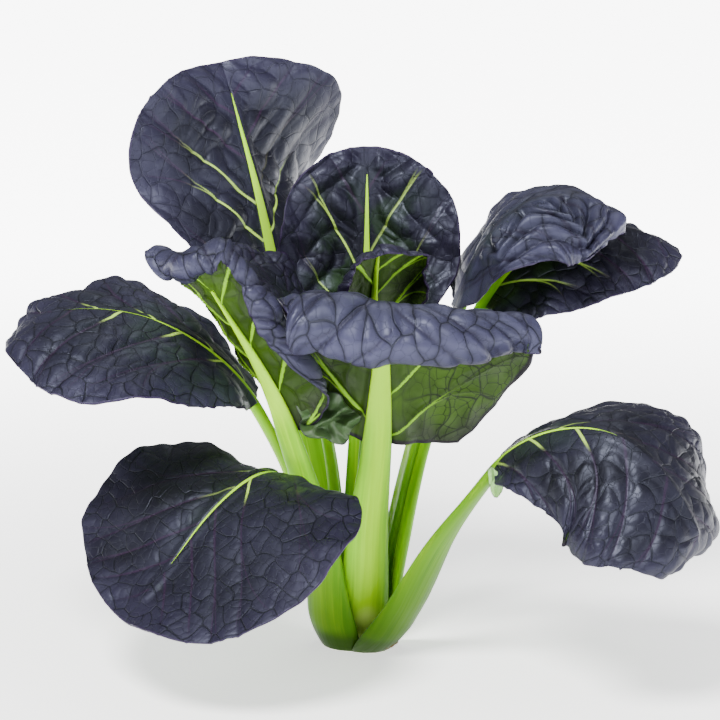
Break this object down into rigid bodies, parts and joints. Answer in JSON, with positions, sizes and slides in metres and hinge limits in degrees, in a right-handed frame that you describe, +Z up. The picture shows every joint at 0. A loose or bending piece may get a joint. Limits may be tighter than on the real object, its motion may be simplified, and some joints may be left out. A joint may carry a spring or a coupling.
{
  "type": "bok choy",
  "caption": "Cut head of purple bok choy standing on its base: dark purple spoon leaves that arch, droop and roll on green stalks rising from a short crown.",
  "frame": {"origin": "middle of the flat cut face that the head stands on", "axes": "+Z up, +X to the right and +Y to the back in the picture's view"},
  "size_m": [0.2886, 0.2202, 0.2466],
  "materials": {
    "crown": "moist satin plant tissue, yellow-green",
    "stalk": "glossy yellow-green stalk with fine lengthwise ribs",
    "blade": "dark purple leaf with a soft waxy sheen, green underneath"
  },
  "bodies": {
    "root": {"crown": "crown", "stalk_right_low": "stalk", "blade_right_low": "blade", "stalk_front_left_low": "stalk", "blade_front_left_low": "blade", "stalk_front": "stalk", "blade_front": "blade", "stalk_left": "stalk", "blade_left": "blade", "stalk_left_front": "stalk", "blade_left_front": "blade", "stalk_right_long": "stalk", "blade_right_long": "blade", "stalk_right_upper": "stalk", "blade_right_upper": "blade", "stalk_back_left": "stalk", "blade_back_left": "blade", "stalk_back": "stalk", "blade_back": "blade", "stalk_inner_left": "stalk", "blade_inner_left": "blade", "stalk_inner_front": "stalk", "blade_inner_front": "blade"}
  },
  "joints": []
}
